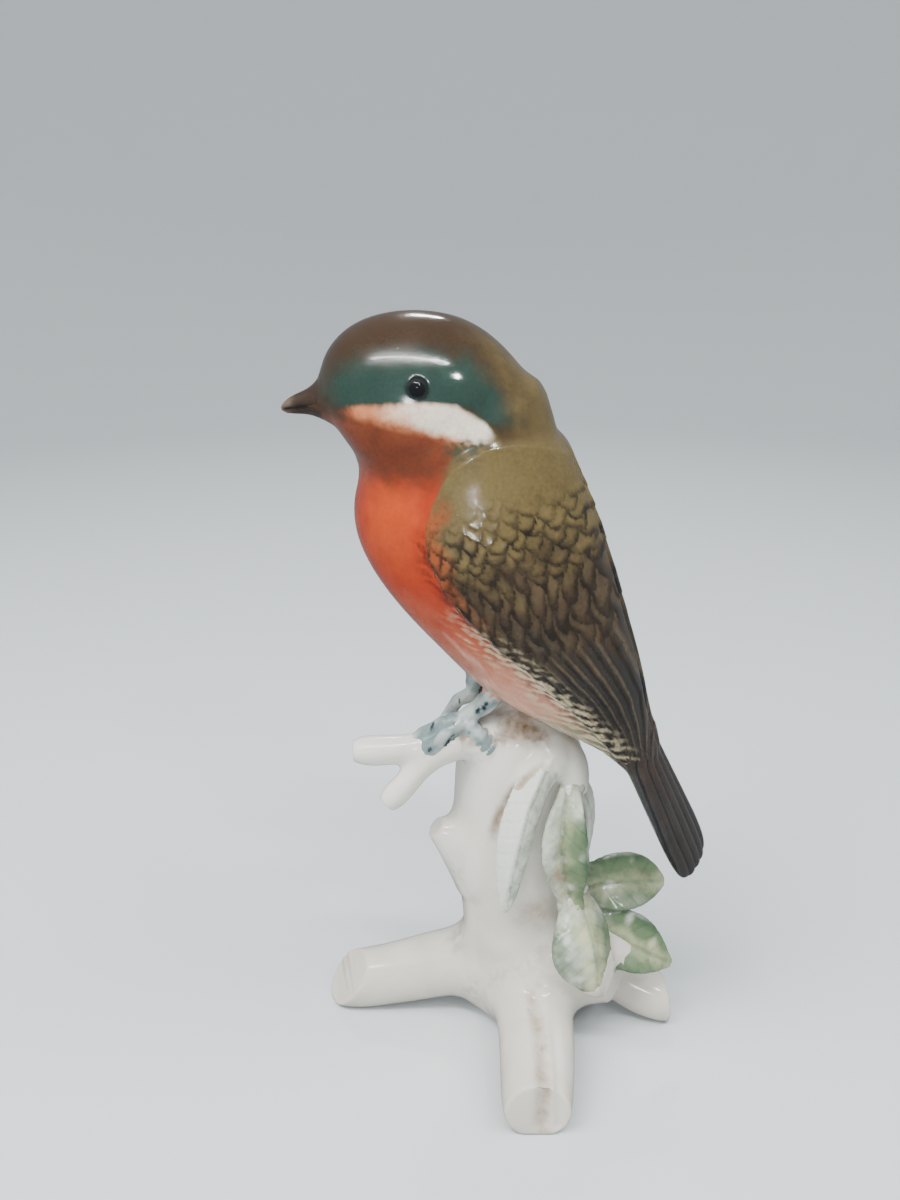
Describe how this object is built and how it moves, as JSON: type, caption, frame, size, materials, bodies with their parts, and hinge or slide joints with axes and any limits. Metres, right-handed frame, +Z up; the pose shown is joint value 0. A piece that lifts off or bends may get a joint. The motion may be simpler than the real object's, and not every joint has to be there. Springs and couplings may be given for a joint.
{
  "type": "porcelain bird figurine",
  "caption": "Glazed porcelain songbird perched on a tree stump with spreading roots and leaves, an ornament for a shelf or cabinet.",
  "frame": {"origin": "middle of the footprint box, on the surface the four root feet stand on", "axes": "+Z up; the bird looks towards -X and its left side faces -Y"},
  "size_m": [0.0726, 0.0676, 0.1342],
  "materials": {
    "head_glaze": "gloss, hand painted",
    "breast_glaze": "gloss, hand painted",
    "wing_glaze": "gloss, hand painted",
    "tail_glaze": "gloss, hand painted",
    "horn_glaze": "gloss, hand painted",
    "black_glaze": "gloss",
    "leg_glaze": "gloss, hand painted",
    "leaf_glaze": "gloss, hand painted",
    "white_glaze": "gloss"
  },
  "bodies": {
    "root": {"beak": "horn_glaze", "bird_body": "breast_glaze", "bird_head": "head_glaze", "branch_stub": "white_glaze", "leaf_base_front": "leaf_glaze", "leaf_base_lower": "leaf_glaze", "leaf_base_upper": "leaf_glaze", "leaf_bud": "leaf_glaze", "leaf_hanging_back": "leaf_glaze", "leaf_hanging_left": "leaf_glaze", "leaf_hanging_right": "leaf_glaze", "leaf_stem": "white_glaze", "left_eye": "black_glaze", "left_leg": "leg_glaze", "left_wing": "wing_glaze", "right_eye": "black_glaze", "right_leg": "leg_glaze", "right_wing": "wing_glaze", "root_back": "white_glaze", "root_front": "white_glaze", "root_knob": "white_glaze", "root_left": "white_glaze", "root_right": "white_glaze", "stump": "white_glaze", "tail": "tail_glaze", "twig": "white_glaze", "twig_prong": "white_glaze"}
  },
  "joints": []
}
